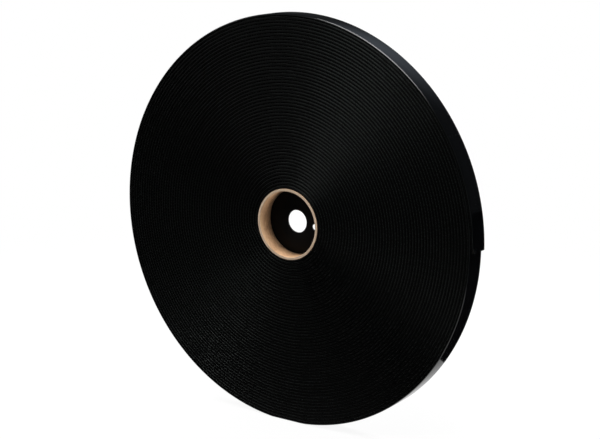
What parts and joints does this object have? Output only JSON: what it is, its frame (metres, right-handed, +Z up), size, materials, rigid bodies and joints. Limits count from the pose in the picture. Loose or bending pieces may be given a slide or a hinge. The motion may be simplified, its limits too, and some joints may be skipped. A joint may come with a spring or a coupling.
{
  "type": "hook and loop tape roll",
  "caption": "Roll of self-adhesive hook tape wound on a paperboard core with a plastic centre plug; its free end lifts and the release liner peels back.",
  "frame": {"origin": "on the floor, under the middle of the roll as it stands on its rim", "axes": "+Z up, +Y along the roll's axis from the front face to the back face, +X to the side where the tape's free end lies"},
  "size_m": [0.2368, 0.0126, 0.2355],
  "materials": {
    "core_board": "matte",
    "hub_plastic": "matte",
    "hook_tape": "matte",
    "liner_film": "semi-gloss"
  },
  "bodies": {
    "roll": {"core_tube": "core_board", "hub_disc": "hub_plastic", "first_turns": "hook_tape", "inner_turns": "hook_tape", "outer_turns": "hook_tape", "last_turn_tape": "hook_tape", "last_turn_liner": "liner_film"},
    "tail": {"tail_tape": "hook_tape", "tail_liner": "liner_film"},
    "liner_flap": {"liner_flap": "liner_film"}
  },
  "joints": [
    {"name": "tail_lift", "type": "hinge", "parent": "roll", "child": "tail", "pos_m": [0.10928, 0, 0.16247], "axis": [0, -1, 0], "range_deg": [0, 70]},
    {"name": "liner_peel", "type": "hinge", "parent": "tail", "child": "liner_flap", "pos_m": [0.11639, 0, 0.13867], "axis": [0, -1, 0], "range_deg": [0, 120]}
  ]
}
